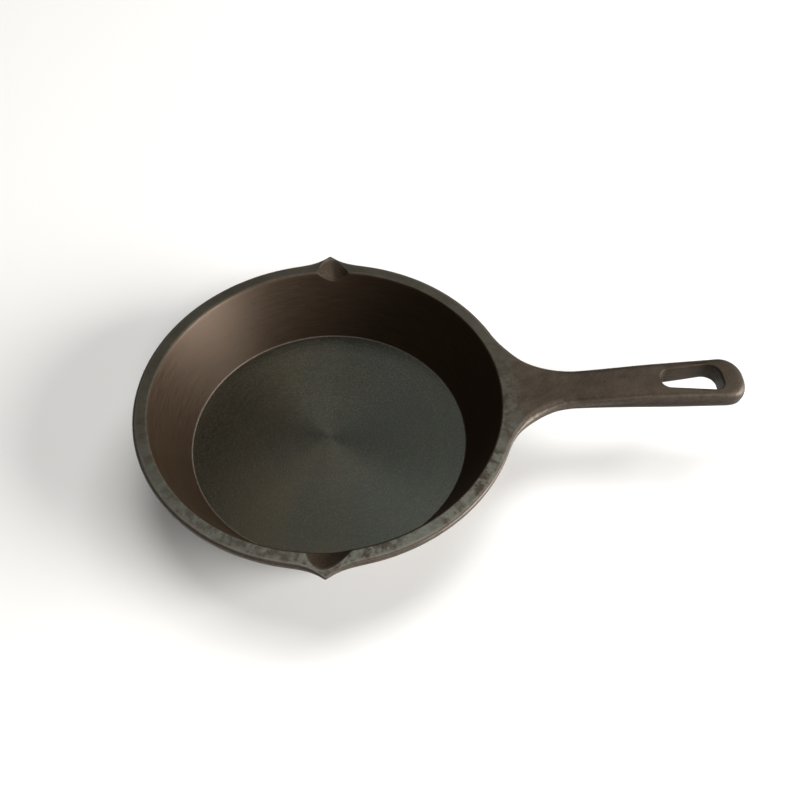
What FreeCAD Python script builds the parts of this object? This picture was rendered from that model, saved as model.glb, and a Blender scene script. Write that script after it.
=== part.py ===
"""Small cast iron skillet with two pour spouts and a one-hand handle.

The skillet is one sand casting. The casting is modelled whole, as one flared bowl, two beaks and a
handle, and then parted along the planes where a person would name its regions, so that each
region is a closed solid and neighbours meet face to face.

Frame: millimetres, +Z up, the origin at the centre of the flat underside, +X along the handle.
"""
import FreeCAD
import Part
import Sketcher
import os

SHEET = "Sizes"
PARTS_FOLDER = "parts"

# Driving dimensions, in millimetres and degrees.
SIZES = {
    # bowl
    "rim_radius": 81.3,
    "mouth_radius": 75.0,
    "floor_radius": 61.7,
    "floor_thick": 4.5,
    "bowl_depth": 30.5,
    "rim_band": 2.5,
    "base_radius": 63.4,
    "base_round": 4.0,
    "rim_round": 1.4,
    "mouth_round": 0.4,
    # pour spouts, one on each side of the handle's line
    "spout_reach": 86.6,
    "spout_half": 9.5,
    "spout_drop": 12.0,
    "spout_bury": 0.4,
    "spout_root": 4.5,
    "groove_tip": 83.4,
    "groove_half_angle": 50.0,
    "groove_tilt": 28.0,
    "groove_length": 14.0,
    "groove_tip_radius": 0.5,
    # handle, seen from above
    "root_inner": 66.0,
    "root_start": 72.1,
    "root_half": 36.0,
    "neck_start": 83.3,
    "neck_half": 9.3,
    "waist_x": 126.0,
    "waist_half": 9.2,
    "end_half": 11.2,
    "handle_reach": 179.2,
    "root_fillet": 37.0,
    "waist_blend": 600.0,
    "end_corner": 8.5,
    # handle, seen from the side, heights above or below the rim's plane
    "rise_start": 88.0,
    "rise_end": 138.0,
    "rise_height": 4.4,
    "tip_height": 5.5,
    "rise_blend": 180.0,
    "root_drop": 13.0,
    "under_start": 99.0,
    "under_end": 148.0,
    "under_drop": 4.8,
    "tip_drop": 3.4,
    "under_blend": 80.0,
    "top_edge_round": 3.0,
    "under_edge_round": 2.4,
    # hanging hole, wider towards the handle's end
    "hole_start": 143.2,
    "hole_end": 169.5,
    "hole_start_half": 4.3,
    "hole_end_half": 7.4,
    "hole_start_corner": 4.0,
    "hole_end_corner": 4.8,
    "hole_edge_round": 0.8,
    # where the regions part
    "slice_inner": 45.0,
    "slice_outer": 95.0,
    "root_slice_half": 30.5,
    "root_slice_drop": 13.0,
    "spout_slice_half": 14.5,
    "spout_slice_drop": 13.5,
    "neck_slice": 108.0,
    "eye_slice": 136.0,
}

RIM = "(Sizes.floor_thick + Sizes.bowl_depth)"
SPARE = 20.0
LEVEL = 0.02
CIRCLE_MATCH = 0.01
MOSTLY = 0.9


def make_sheet(doc):
    """Write the driving dimensions into a spreadsheet, one named cell each."""
    sheet = doc.addObject("Spreadsheet::Sheet", SHEET)
    for row, (name, value) in enumerate(SIZES.items(), start=1):
        sheet.set(f"A{row}", name)
        sheet.set(f"B{row}", str(value))
        sheet.setAlias(f"B{row}", name)
    doc.recompute()
    return sheet


def cell(name):
    """The expression that reads one dimension."""
    return f"{SHEET}.{name}"


def origin_plane(body, role):
    """One of the body's own origin planes."""
    for feature in body.Origin.OriginFeatures:
        if feature.Role == role:
            return feature
    raise ValueError(role)


def new_body(doc, name):
    body = doc.addObject("PartDesign::Body", name)
    body.Label = name
    return body


def new_sketch(body, name, role):
    sketch = body.newObject("Sketcher::SketchObject", name)
    sketch.AttachmentSupport = (origin_plane(body, role), [""])
    sketch.MapMode = "FlatFace"
    return sketch


def evaluate(sketch, expression):
    """The present value of an expression, as a plain number."""
    return float(sketch.evalExpression(expression.replace("Sizes.", "<<Sizes>>.")))


def bind_point(sketch, line, corner, x_expression, y_expression):
    """Tie a line's start to two expressions, measured from the sketch's origin."""
    for kind, index, expression in (
        ("DistanceX", 0, x_expression),
        ("DistanceY", 1, y_expression),
    ):
        place = evaluate(sketch, expression)
        number = sketch.addConstraint(Sketcher.Constraint(kind, -1, 1, line, 1, place))
        label = f"p{corner}{'xy'[index]}"
        sketch.renameConstraint(number, label)
        sketch.setExpression(f"Constraints.{label}", expression)


def bound_polygon(sketch, corners, blends=None):
    """Draw a closed polygon whose corners are pairs of expressions.

    blends gives some corners, by number, an arc whose radius is one more expression.
    """
    points = [
        FreeCAD.Vector(evaluate(sketch, x), evaluate(sketch, y), 0.0) for x, y in corners
    ]
    lines = []
    for start, end in zip(points, points[1:] + points[:1]):
        lines.append(sketch.addGeometry(Part.LineSegment(start, end), False))
    for index, line in enumerate(lines):
        following = lines[(index + 1) % len(lines)]
        sketch.addConstraint(Sketcher.Constraint("Coincident", line, 2, following, 1))
    for index, (x, y) in enumerate(corners):
        bind_point(sketch, lines[index], index, x, y)
    for corner, radius in (blends or {}).items():
        sketch.fillet(lines[corner], 1, evaluate(sketch, radius), True, True)
        arc = max(i for i, g in enumerate(sketch.Geometry) if isinstance(g, Part.ArcOfCircle))
        number = sketch.addConstraint(
            Sketcher.Constraint("Radius", arc, evaluate(sketch, radius))
        )
        sketch.renameConstraint(number, f"blend{corner}")
        sketch.setExpression(f"Constraints.blend{corner}", radius)


def ring_edges(shape, radius, height):
    """Names of the circular edges of a given radius at a given height."""
    names = []
    for index, edge in enumerate(shape.Edges, start=1):
        curve = edge.Curve
        if not isinstance(curve, Part.Circle):
            continue
        off = max(abs(curve.Radius - radius), abs(curve.Center.z - height))
        if off < CIRCLE_MATCH:
            names.append(f"Edge{index}")
    return names


def fillet(body, base, name, edge_names, radius_expression):
    """Round some edges of a body's last feature."""
    feature = body.newObject("PartDesign::Fillet", name)
    feature.Base = (base, edge_names)
    feature.setExpression("Radius", radius_expression)
    body.Document.recompute()
    return feature


def make_bowl(doc):
    """The bowl: floor, flared wall and flat rim, turned from one half section."""
    body = new_body(doc, "bowl")
    section = new_sketch(body, "bowl_section", "XZ_Plane")
    bound_polygon(
        section,
        [
            ("0", "0"),
            (cell("base_radius"), "0"),
            (cell("rim_radius"), f"{RIM} - {cell('rim_band')}"),
            (cell("rim_radius"), RIM),
            (cell("mouth_radius"), RIM),
            (cell("floor_radius"), cell("floor_thick")),
            ("0", cell("floor_thick")),
        ],
    )
    turned = body.newObject("PartDesign::Revolution", "bowl_turned")
    turned.Profile = section
    turned.ReferenceAxis = (section, ["V_Axis"])
    turned.Angle = 360.0
    doc.recompute()
    rim_height = SIZES["floor_thick"] + SIZES["bowl_depth"]
    rounded = turned
    for name, radius, height in (
        ("base_round", SIZES["base_radius"], 0.0),
        ("rim_round", SIZES["rim_radius"], rim_height),
        ("mouth_round", SIZES["mouth_radius"], rim_height),
    ):
        edges = ring_edges(rounded.Shape, radius, height)
        rounded = fillet(body, rounded, f"bowl_{name}", edges, cell(name))
    return body


def make_beak(doc, name, turn):
    """The solid beak under one pour spout: a kite at the rim that sinks into the wall below."""
    body = new_body(doc, name)
    half = cell("spout_half")
    bury = cell("spout_bury")
    height = {"rim": RIM, "wall": f"{RIM} - {cell('spout_drop')}"}
    wall_radius = (
        f"({cell('base_radius')} + ({cell('rim_radius')} - {cell('base_radius')})"
        f" * ({height['wall']}) / ({RIM} - {cell('rim_band')}))"
    )
    shapes = {
        "rim": (cell("spout_reach"), half, cell("rim_radius")),
        "wall": (f"({wall_radius} - {bury})", f"({half} / 2)", wall_radius),
    }
    sections = []
    for level, (tip, reach, ring) in shapes.items():
        sketch = new_sketch(body, f"{name}_{level}_section", "XY_Plane")
        sketch.setExpression("AttachmentOffset.Base.z", height[level])
        doc.recompute()
        flank = f"sqrt(({ring} - {bury})^2 - {reach}^2)"
        bound_polygon(
            sketch,
            [
                (f"-{reach}", flank),
                ("0", f"{ring} - {cell('spout_root')}"),
                (reach, flank),
                ("0", tip),
            ],
        )
        sections.append(sketch)
    loft = body.newObject("PartDesign::AdditiveLoft", f"{name}_loft")
    loft.Profile = sections[0]
    loft.Sections = sections[1:]
    loft.Ruled = True
    doc.recompute()
    body.Placement = FreeCAD.Placement(
        FreeCAD.Vector(0, 0, 0), FreeCAD.Rotation(FreeCAD.Vector(0, 0, 1), turn)
    )
    return body


def flat_faces_towards(shape, upward):
    """The faces of a shape that look mostly up, or mostly down."""
    faces = []
    for face in shape.Faces:
        u_min, u_max, v_min, v_max = face.ParameterRange
        normal = face.normalAt((u_min + u_max) / 2.0, (v_min + v_max) / 2.0)
        if normal.z * upward > MOSTLY:
            faces.append(face)
    return faces


def rim_edge_names(shape, faces, beyond_x):
    """Names of the edges that bound a patch of faces, past a given X."""
    counts = {}
    for face in faces:
        for edge in face.Edges:
            key = tuple(round(value, 3) for value in edge.CenterOfMass)
            counts[key] = counts.get(key, 0) + 1
    names = []
    for index, edge in enumerate(shape.Edges, start=1):
        key = tuple(round(value, 3) for value in edge.CenterOfMass)
        if counts.get(key) == 1 and edge.CenterOfMass.x > beyond_x:
            names.append(f"Edge{index}")
    return names


def trim(body, name, corners, blend):
    """Cut the handle across its whole width with a side outline, its two bends blended."""
    sketch = new_sketch(body, f"{name}_outline", "XZ_Plane")
    bound_polygon(sketch, corners, {1: blend, 2: blend})
    before = body.Shape.Volume
    pocket = body.newObject("PartDesign::Pocket", name)
    pocket.Profile = sketch
    pocket.SideType = "Symmetric"
    pocket.Type = "Length"
    pocket.Length = 4.0 * SIZES["root_half"]
    body.Document.recompute()
    if not body.Shape.Volume < before:
        raise RuntimeError(f"{name} removed nothing")
    return pocket


def make_handle(doc):
    """The handle as cast: outline from above, profile from the side, rounded edges and a hole."""
    body = new_body(doc, "handle")
    plan = new_sketch(body, "handle_plan", "XY_Plane")
    outline = [
        (cell("root_inner"), cell("root_half")),
        (cell("root_start"), cell("root_half")),
        (cell("neck_start"), cell("neck_half")),
        (cell("waist_x"), cell("waist_half")),
        (cell("handle_reach"), cell("end_half")),
    ]
    mirrored = [(x, f"-{y}") for x, y in reversed(outline)]
    bends = {2: "root_fillet", 3: "waist_blend", 4: "end_corner"}
    bends.update({len(outline + mirrored) - 1 - corner: bend for corner, bend in bends.items()})
    bound_polygon(plan, outline + mirrored, {corner: cell(bend) for corner, bend in bends.items()})
    blank = body.newObject("PartDesign::Pad", "handle_blank")
    blank.Profile = plan
    blank.setExpression("Length", f"{RIM} + {SPARE}")
    doc.recompute()

    far = f"{cell('handle_reach')} + {SPARE}"
    near = f"{cell('root_inner')} - {SPARE}"
    trim(
        body,
        "handle_top",
        [
            (near, RIM),
            (cell("rise_start"), RIM),
            (cell("rise_end"), f"{RIM} + {cell('rise_height')}"),
            (cell("handle_reach"), f"{RIM} + {cell('tip_height')}"),
            (far, f"{RIM} + {cell('tip_height')}"),
            (far, f"{RIM} + 2 * {SPARE}"),
            (near, f"{RIM} + 2 * {SPARE}"),
        ],
        cell("rise_blend"),
    )
    under = trim(
        body,
        "handle_underside",
        [
            (near, f"{RIM} - {cell('root_drop')}"),
            (cell("under_start"), f"{RIM} - {cell('under_drop')}"),
            (cell("under_end"), f"{RIM} - {cell('under_drop')}"),
            (cell("handle_reach"), f"{RIM} - {cell('tip_drop')}"),
            (far, f"{RIM} - {cell('tip_drop')}"),
            (far, f"-{SPARE}"),
            (near, f"-{SPARE}"),
        ],
        cell("under_blend"),
    )

    rounded = under
    for name, upward in (("top_edge_round", 1), ("under_edge_round", -1)):
        faces = flat_faces_towards(rounded.Shape, upward)
        edges = rim_edge_names(rounded.Shape, faces, SIZES["root_start"] + LEVEL)
        rounded = fillet(body, rounded, f"handle_{name}", edges, cell(name))
    cut_hole(body)
    return body


def cut_hole(body):
    """The hanging hole, right through the handle, with softened edges above and below."""
    sketch = new_sketch(body, "hanging_hole_outline", "XY_Plane")
    bound_polygon(
        sketch,
        [
            (cell("hole_start"), cell("hole_start_half")),
            (cell("hole_end"), cell("hole_end_half")),
            (cell("hole_end"), f"-{cell('hole_end_half')}"),
            (cell("hole_start"), f"-{cell('hole_start_half')}"),
        ],
        {
            0: cell("hole_start_corner"),
            1: cell("hole_end_corner"),
            2: cell("hole_end_corner"),
            3: cell("hole_start_corner"),
        },
    )
    before = body.Shape.Volume
    hole = body.newObject("PartDesign::Pocket", "hanging_hole")
    hole.Profile = sketch
    hole.SideType = "Symmetric"
    hole.Type = "Length"
    hole.setExpression("Length", f"4 * {RIM}")
    body.Document.recompute()
    if not body.Shape.Volume < before:
        raise RuntimeError("the hanging hole removed nothing")
    inside = FreeCAD.BoundBox(
        SIZES["hole_start"] - LEVEL,
        -SIZES["hole_end_half"] - LEVEL,
        0.0,
        SIZES["hole_end"] + LEVEL,
        SIZES["hole_end_half"] + LEVEL,
        4.0 * SPARE,
    )
    lips = []
    for index, edge in enumerate(hole.Shape.Edges, start=1):
        upright = edge.BoundBox.ZLength > SIZES["tip_height"]
        if inside.isInside(edge.BoundBox) and not upright:
            lips.append(f"Edge{index}")
    fillet(body, hole, "hanging_hole_lips", lips, cell("hole_edge_round"))


def make_groove(doc, name, side):
    """The pouring groove's cutter: a cone that rises outwards and ends in a point at the beak."""
    cone = doc.addObject("Part::Cone", name)
    cone.Label = name
    length = cell("groove_length")
    spread = f"{length} * tan({cell('groove_half_angle')} * 1deg)"
    cone.setExpression("Radius1", f"{cell('groove_tip_radius')} + {spread}")
    cone.setExpression("Radius2", cell("groove_tip_radius"))
    cone.setExpression("Height", length)
    tilt = f"({cell('groove_tilt')} * 1deg)"
    axis = FreeCAD.Vector(-side, 0, 0)
    cone.Placement = FreeCAD.Placement(
        FreeCAD.Vector(0, 0, 0), FreeCAD.Rotation(axis, 90.0 + SIZES["groove_tilt"])
    )
    inward = f"({cell('groove_tip')} - {length} * cos{tilt})"
    cone.setExpression("Placement.Base.y", f"{side} * {inward}")
    cone.setExpression("Placement.Base.z", f"{RIM} + {length} * sin{tilt}")
    return cone


def make_box(doc, name, corner, size):
    """A slicing block, from its lowest corner and its three sides."""
    box = doc.addObject("Part::Box", name)
    box.Label = name
    for axis, expression in zip("xyz", corner):
        box.setExpression(f"Placement.Base.{axis}", expression)
    for side, expression in zip(("Length", "Width", "Height"), size):
        box.setExpression(side, expression)
    return box


def combine(doc, kind, name, base, tool):
    """A boolean of two objects: Cut or Common."""
    result = doc.addObject(f"Part::{kind}", name)
    result.Label = name
    result.Base = base
    result.Tool = tool
    result.Refine = True
    return result


def fuse(doc, name, shapes):
    result = doc.addObject("Part::MultiFuse", name)
    result.Label = name
    result.Shapes = shapes
    result.Refine = True
    return result


def make_casting(doc):
    """The whole skillet as it leaves the mould."""
    bowl = make_bowl(doc)
    handle = make_handle(doc)
    cavity = doc.addObject("Part::Cone", "cavity")
    cavity.Label = "cavity"
    cavity.setExpression("Radius1", cell("floor_radius"))
    cavity.setExpression("Radius2", cell("mouth_radius"))
    cavity.setExpression("Height", cell("bowl_depth"))
    cavity.setExpression("Placement.Base.z", cell("floor_thick"))
    handle_outside = combine(doc, "Cut", "handle_outside", handle, cavity)
    beaks = [make_beak(doc, "beak_left", 0.0), make_beak(doc, "beak_right", 180.0)]
    whole = fuse(doc, "whole", [bowl, handle_outside] + beaks)
    grooves = fuse(
        doc, "grooves", [make_groove(doc, "groove_left", 1), make_groove(doc, "groove_right", -1)]
    )
    casting = combine(doc, "Cut", "casting", whole, grooves)
    doc.recompute()
    return casting


def part_regions(doc, casting):
    """Part the casting into its named regions, each a closed solid of its own."""
    floor_block = doc.addObject("Part::Cylinder", "floor_block")
    floor_block.Label = "floor_block"
    floor_block.setExpression("Radius", cell("floor_radius"))
    floor_block.setExpression("Height", RIM)
    pan_floor = combine(doc, "Common", "pan_floor", casting, floor_block)
    shell = combine(doc, "Cut", "shell", casting, floor_block)

    reach = f"({cell('slice_outer')} - {cell('slice_inner')})"
    spout_base = f"{RIM} - {cell('spout_slice_drop')}"
    spout_size = (
        f"2 * {cell('spout_slice_half')}",
        reach,
        f"{cell('spout_slice_drop')} + {SPARE}",
    )
    spout_left_block = make_box(
        doc,
        "spout_left_block",
        (f"-{cell('spout_slice_half')}", cell("slice_inner"), spout_base),
        spout_size,
    )
    spout_right_block = make_box(
        doc,
        "spout_right_block",
        (f"-{cell('spout_slice_half')}", f"-{cell('slice_outer')}", spout_base),
        spout_size,
    )
    handle_blocks = []
    cuts = [cell("slice_inner"), cell("neck_slice"), cell("eye_slice"), cell("handle_reach")]
    for name, start, end, beyond in (
        ("root_block", cuts[0], cuts[1], 0.0),
        ("neck_block", cuts[1], cuts[2], 0.0),
        ("eye_block", cuts[2], cuts[3], SPARE),
    ):
        block = make_box(
            doc,
            name,
            (start, f"-{cell('root_slice_half')}", f"{RIM} - {cell('root_slice_drop')}"),
            (
                f"{end} - {start} + {beyond}",
                f"2 * {cell('root_slice_half')}",
                f"{cell('root_slice_drop')} + {SPARE}",
            ),
        )
        handle_blocks.append(block)
    root_block, neck_block, eye_block = handle_blocks
    blocks = fuse(doc, "rim_blocks", [spout_left_block, spout_right_block] + handle_blocks)

    regions = [
        pan_floor,
        combine(doc, "Cut", "side_wall", shell, blocks),
        combine(doc, "Common", "pour_spout_left", shell, spout_left_block),
        combine(doc, "Common", "pour_spout_right", shell, spout_right_block),
        combine(doc, "Common", "handle_root", shell, root_block),
        combine(doc, "Common", "handle_neck", shell, neck_block),
        combine(doc, "Common", "hanging_eye", shell, eye_block),
    ]
    doc.recompute()
    return regions


def check(doc, regions):
    """Stop if any object failed, or if a region is not one valid solid."""
    for item in doc.Objects:
        if "Invalid" in item.State or "Error" in item.State:
            raise RuntimeError(f"{item.Label} did not compute: {item.State}")
    for region in regions:
        shape = region.Shape
        if shape.isNull() or not shape.isValid() or len(shape.Solids) != 1:
            raise RuntimeError(f"{region.Label} is not one valid solid")


def main():
    doc = FreeCAD.newDocument("skillet")
    make_sheet(doc)
    regions = part_regions(doc, make_casting(doc))
    check(doc, regions)
    os.makedirs(PARTS_FOLDER, exist_ok=True)
    for region in regions:
        region.Shape.exportStep(os.path.join(PARTS_FOLDER, f"{region.Label}.step"))
        print(region.Label, "volume", round(region.Shape.Volume, 1), "mm3")


main()
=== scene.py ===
import math

import bmesh
import bpy
import numpy as np
from mathutils import Matrix, Vector


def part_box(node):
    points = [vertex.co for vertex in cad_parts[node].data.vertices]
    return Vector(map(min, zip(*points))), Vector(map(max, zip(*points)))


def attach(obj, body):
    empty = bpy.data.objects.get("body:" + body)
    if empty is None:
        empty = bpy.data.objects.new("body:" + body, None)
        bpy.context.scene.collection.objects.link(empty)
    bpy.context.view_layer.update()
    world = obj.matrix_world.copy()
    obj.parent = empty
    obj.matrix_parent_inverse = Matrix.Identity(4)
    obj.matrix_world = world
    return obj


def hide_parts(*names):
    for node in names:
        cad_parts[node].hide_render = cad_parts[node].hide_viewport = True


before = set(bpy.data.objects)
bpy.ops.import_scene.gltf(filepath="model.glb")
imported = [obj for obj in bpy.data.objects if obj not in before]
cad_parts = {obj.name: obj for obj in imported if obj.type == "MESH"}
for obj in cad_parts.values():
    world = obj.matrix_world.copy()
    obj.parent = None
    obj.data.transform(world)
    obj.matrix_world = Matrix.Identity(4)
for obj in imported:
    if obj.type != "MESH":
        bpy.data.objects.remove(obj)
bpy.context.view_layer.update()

MM = 0.001

# The skillet is one casting, so its visible skin is made as one closed mesh of quads, in
# millimetres, and parted into its named regions at the end. Sizes that the CAD model fixes are
# read from its boxes. The others are the finer shapes that it leaves out.


def cad_box(node):
    """A CAD node's lowest and highest corners, in millimetres."""
    low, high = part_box(node)
    return np.array(low) / MM, np.array(high) / MM


RIM_RADIUS = -cad_box("side_wall")[0][0]
RIM_HEIGHT = cad_box("pour_spout_left")[1][2]
FLOOR_RADIUS = cad_box("pan_floor")[1][0]
FLOOR_HEIGHT = cad_box("pan_floor")[1][2]
SPOUT_REACH = cad_box("pour_spout_left")[1][1]
HANDLE_REACH = cad_box("hanging_eye")[1][0]
EYE_HALF = cad_box("hanging_eye")[1][1]
NECK_SLICE = cad_box("handle_neck")[0][0]
EYE_SLICE = cad_box("hanging_eye")[0][0]
UNDER_HEIGHT = cad_box("handle_neck")[0][2]
SPOUT_BASE = cad_box("pour_spout_left")[0][2]

# Bowl. BAND is the strip under the rim, and BAND_ROOT the height at which it joins the wall.
MOUTH_RADIUS = 75.0
BASE_RADIUS = 63.2
UNDERSIDE_RADIUS = 58.0
BAND = 2.2
BAND_ROOT = 30.0
WALL_LEAN = (RIM_RADIUS - BASE_RADIUS) / (RIM_HEIGHT - BAND)
INNER_LEAN = (MOUTH_RADIUS - FLOOR_RADIUS) / (RIM_HEIGHT - FLOOR_HEIGHT)
RIM_INSET = 0.02

# Pour spouts. Each beak's turn is where its tip points, each groove has its own depth and lean.
BEAK_TURNS = (math.radians(89.0), math.radians(-89.7))
BEAK_SPREAD = math.radians(14.0)
BEAK_CURVE = 3.8
BEAK_NOSE = math.radians(0.35)
BEAK_INSET = 0.05
BEAK_UNDERCUT = 0.9
BEAK_THINNING = 0.6
SPOUT_FOOT = 21.0
SPOUT_FOOT_CURVE = 0.4
GROOVE_CURVE = 0.85
LEFT_GROOVE = {"tip": 84.4, "fall": 0.33, "half": 7.4, "at_tip": 1.5, "at_mouth": 2.7}
RIGHT_GROOVE = {"tip": 82.4, "fall": 0.46, "half": 8.8, "at_tip": -0.4, "at_mouth": 1.3}

# Edges, as the length that each takes from the faces beside it, and the least gap between two
LIP_ROUND = 0.8
CREASE_ROUND = 0.5
LEAST_CREASE_GAP = 0.3
RIM_ROUND = 1.4
SPOUT_EDGE_ROUND = 1.1
BAND_ROUND = 0.5
BASE_CUT = 2.4
FLOOR_RIM = 0.5

# Handle, seen from above. Its fillets leave the rim at ROOT_TURNS. The rim's own section turns
# into the handle's over ROOT_SETTLE, and edges wear all round up to ROOT_LENGTH past the rim.
ROOT_TURNS = {"far": math.radians(23.8), "near": math.radians(22.4)}
NECK_HALF = 9.15
ROOT_SETTLE = 8.0
ROOT_LENGTH = 20.0
ROOT_FOOT_SPREAD = 1.6
STRAIGHT_FROM = 106.0
FLARE_START = 112.0
FLARE_END = 170.0
FLARE_CURVE = 1.6
END_ROUND_FAR = 2.1
END_ROUND_NEAR = 2.9

# Handle, seen from the side. The top climbs between RISE_START and RISE_END. The underside
# leaves the wall at the height ROOT_FOOT and is level from ROOT_FOOT_REACH to UNDER_END.
RISE_START = 89.0
RISE_SLOPE = 0.088
RISE_BEND = 3.0
RISE_END = 138.0
TIP_SLOPE = 0.0267
TIP_BEND = 4.0
UNDER_END = 148.0
UNDER_SLOPE = 0.045
UNDER_BEND = 3.0
ROOT_FOOT = 23.0
ROOT_FOOT_REACH = 97.0
CROWN = 0.35
CROWN_START = 90.0
CROWN_END = 120.0
TOP_ROUND = 3.4
CORNER_ROUND = 1.8
CORNER_SPREAD = 5.0
SIDE_DRAFT = 0.3
UNDER_ROUND = 2.5

# Hanging hole
HOLE_START = 143.3
HOLE_END = 169.4
HOLE_START_HALF = 4.3
HOLE_END_HALF = 7.3
HOLE_START_CORNER = 4.1
HOLE_FAR_CORNER = 5.6
HOLE_NEAR_CORNER = 3.8
HOLE_LIP = 0.9

# How finely the skin is divided
TURN_STEP = 1.4
SPOUT_FINE = 13.0
SPOUT_TURNS = 61
SPOUT_CROWDING = 1.35
FLOOR_CORNER = 0.012
HANDLE_LOOPS = 52
END_POINTS = 76
ROWS = {"inner": 24, "groove": 9, "top": 5, "band": 4, "foot": 6, "outer": 14, "under": 2}
ARC_ROWS = {"lip": 4, "crease": 3, "rim": 6, "band": 2, "base": 6}
FLOOR_RINGS = 18
FLOOR_CENTRE = 0.6
EYE_RINGS = 7
HOLE_ARC = 4
HOLE_WALL = 5
OUTLINE_POINTS = {"fillet": 160, "side": 120, "end": 400, "corner": 24}
HALVINGS = 30
LIP_PASSES = 40

# Colours, in linear light
SEASONED_DARK = (0.033, 0.022, 0.013)
SEASONED_LIGHT = (0.047, 0.034, 0.022)
SEASONED_GRAIN = (0.073, 0.053, 0.037)
# Painted shade for faces that look sideways or down and for the hanging hole's wide end
PAINTED_SHADE = (0.016, 0.008, 0.003)
GROUND_DARK = (0.031, 0.028, 0.019)
GROUND_LIGHT = (0.045, 0.042, 0.030)
# Paler tone for the rim's near side: a painted highlight
GROUND_NEAR_HIGHLIGHT = (0.067, 0.069, 0.056)
RUST_BROWN = (0.027, 0.017, 0.008)
TURNED_WALL_DARK = (0.027, 0.016, 0.008)
TURNED_WALL_LIGHT = (0.041, 0.025, 0.014)
WALL_SHEEN = (1.0, 0.87, 0.76)
# Lighter edges: partly wear, partly a painted highlight on rounded edges and along the floor's corner
WORN_EDGE_AND_HIGHLIGHT = (0.120, 0.100, 0.082)
# The floor's left side, browner as a painted reflection of the wall
FLOOR_REFLECTED_BROWN = (0.0250, 0.0212, 0.0130)
FLOOR_GREY = (0.0160, 0.0178, 0.0143)
FLOOR_SPECK = (0.060, 0.060, 0.047)
STAGE_DARK = (0.86, 0.86, 0.85)
STAGE_LIGHT = (0.90, 0.90, 0.89)
WHITE = (1.0, 1.0, 1.0)

# Heights at which the underside's look starts and ends its change to the upper side's
UPPER_START = 1.5
UPPER_FULL = 3.5

# Where along X the ground rim gives way to the handle's as-cast top
GROUND_END = 78.0
CAST_START = 87.0

# Direction of the floor's sheen, in whole turns. Plain concentric tool marks would be 0.25.
FLOOR_SHEEN_TURN = 0.37

# Stage, in metres and watts. A light has a name, azimuth, elevation, distance, size, power, colour.
STAGE_HALF = 1.6
SURROUNDING = (0.86, 0.86, 0.85, 1.0)
LIGHTS = (
    ("key", -15.0, 13.0, 2.4, 1.7, 145.0, (1.0, 0.98, 0.96)),
    ("side", 45.0, 50.0, 2.4, 0.9, 13.0, (0.95, 0.98, 1.0)),
    ("sky", 83.0, 67.0, 2.4, 1.5, 27.0, (1.0, 0.98, 0.96)),
    ("front", -80.0, 42.0, 2.4, 0.7, 16.0, (1.0, 0.98, 0.95)),
)

# Camera, about the centre of the rim's plane
CAMERA_AZIMUTH = 4.71
CAMERA_ELEVATION = 51.27
CAMERA_DISTANCE = 379.9
CAMERA_YAW = -4.72
CAMERA_PITCH = -0.77
CAMERA_ROLL = -5.43
CAMERA_LENS = 39.99
CAMERA_SENSOR = 36.0
CAMERA_CLIP = 0.01


# ---------------------------------------------------------------- curves and surfaces


def ramp(x, start, softness):
    """0 before start and x - start after it, with a soft bend between."""
    return softness * np.logaddexp(0.0, (np.asarray(x, float) - start) / softness)


def smoothstep(x, low, high):
    """0 up to low and 1 from high on, with a smooth change between."""
    t = np.clip((np.asarray(x, float) - low) / (high - low), 0.0, 1.0)
    return t * t * (3.0 - 2.0 * t)


def wall_radius(z):
    """Radius of the outer wall at a height."""
    return BASE_RADIUS + WALL_LEAN * z


def inner_radius(z):
    """Radius of the inner wall at a height."""
    return FLOOR_RADIUS + INNER_LEAN * (z - FLOOR_HEIGHT)


def rim_outline(turn):
    """Radius of the rim's outer edge: a circle that runs out into two pointed beaks."""
    radius = RIM_RADIUS - RIM_INSET
    for tip in BEAK_TURNS:
        off_tip = (turn - tip + math.pi) % (2.0 * math.pi) - math.pi
        off_tip = np.hypot(off_tip, BEAK_NOSE) - BEAK_NOSE
        share = np.clip(1.0 - off_tip / BEAK_SPREAD, 0.0, 1.0)
        radius = radius + (SPOUT_REACH - RIM_RADIUS - BEAK_INSET) * share**BEAK_CURVE
    return radius


def groove_depth(x, y):
    """How far the pouring groove sinks below the rim's plane."""
    depth = 0.0
    for groove, side in ((LEFT_GROOVE, 1.0), (RIGHT_GROOVE, -1.0)):
        run = groove["tip"] - side * y
        share = run / (groove["tip"] - MOUTH_RADIUS)
        middle = groove["at_tip"] + (groove["at_mouth"] - groove["at_tip"]) * share
        across = ((x - middle) / groove["half"]) ** 2 / np.maximum(share, 1e-3)
        sunk = groove["fall"] * run * (1.0 - np.minimum(across, 4.0) ** GROOVE_CURVE)
        depth = depth + np.where(share > 1e-3, np.maximum(sunk, 0.0), 0.0) * (side * y > 0.0)
    return depth


def groove_end(turn):
    """Radius at which the groove runs out into the rim's flat top."""
    low = np.full_like(turn, MOUTH_RADIUS - 1.0)
    high = np.full_like(turn, SPOUT_REACH)
    for _ in range(HALVINGS):
        middle = (low + high) / 2.0
        sunk = groove_depth(middle * np.cos(turn), middle * np.sin(turn)) > 0.0
        low = np.where(sunk, middle, low)
        high = np.where(sunk, high, middle)
    return high


def handle_top(x, y):
    """Height of the handle's upper face."""
    rise = RISE_SLOPE * ramp(x, RISE_START, RISE_BEND)
    rise = rise + (TIP_SLOPE - RISE_SLOPE) * ramp(x, RISE_END, TIP_BEND)
    crown = CROWN * smoothstep(x, CROWN_START, CROWN_END) * (np.asarray(y) / EYE_HALF) ** 2
    return RIM_HEIGHT + rise - crown


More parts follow.
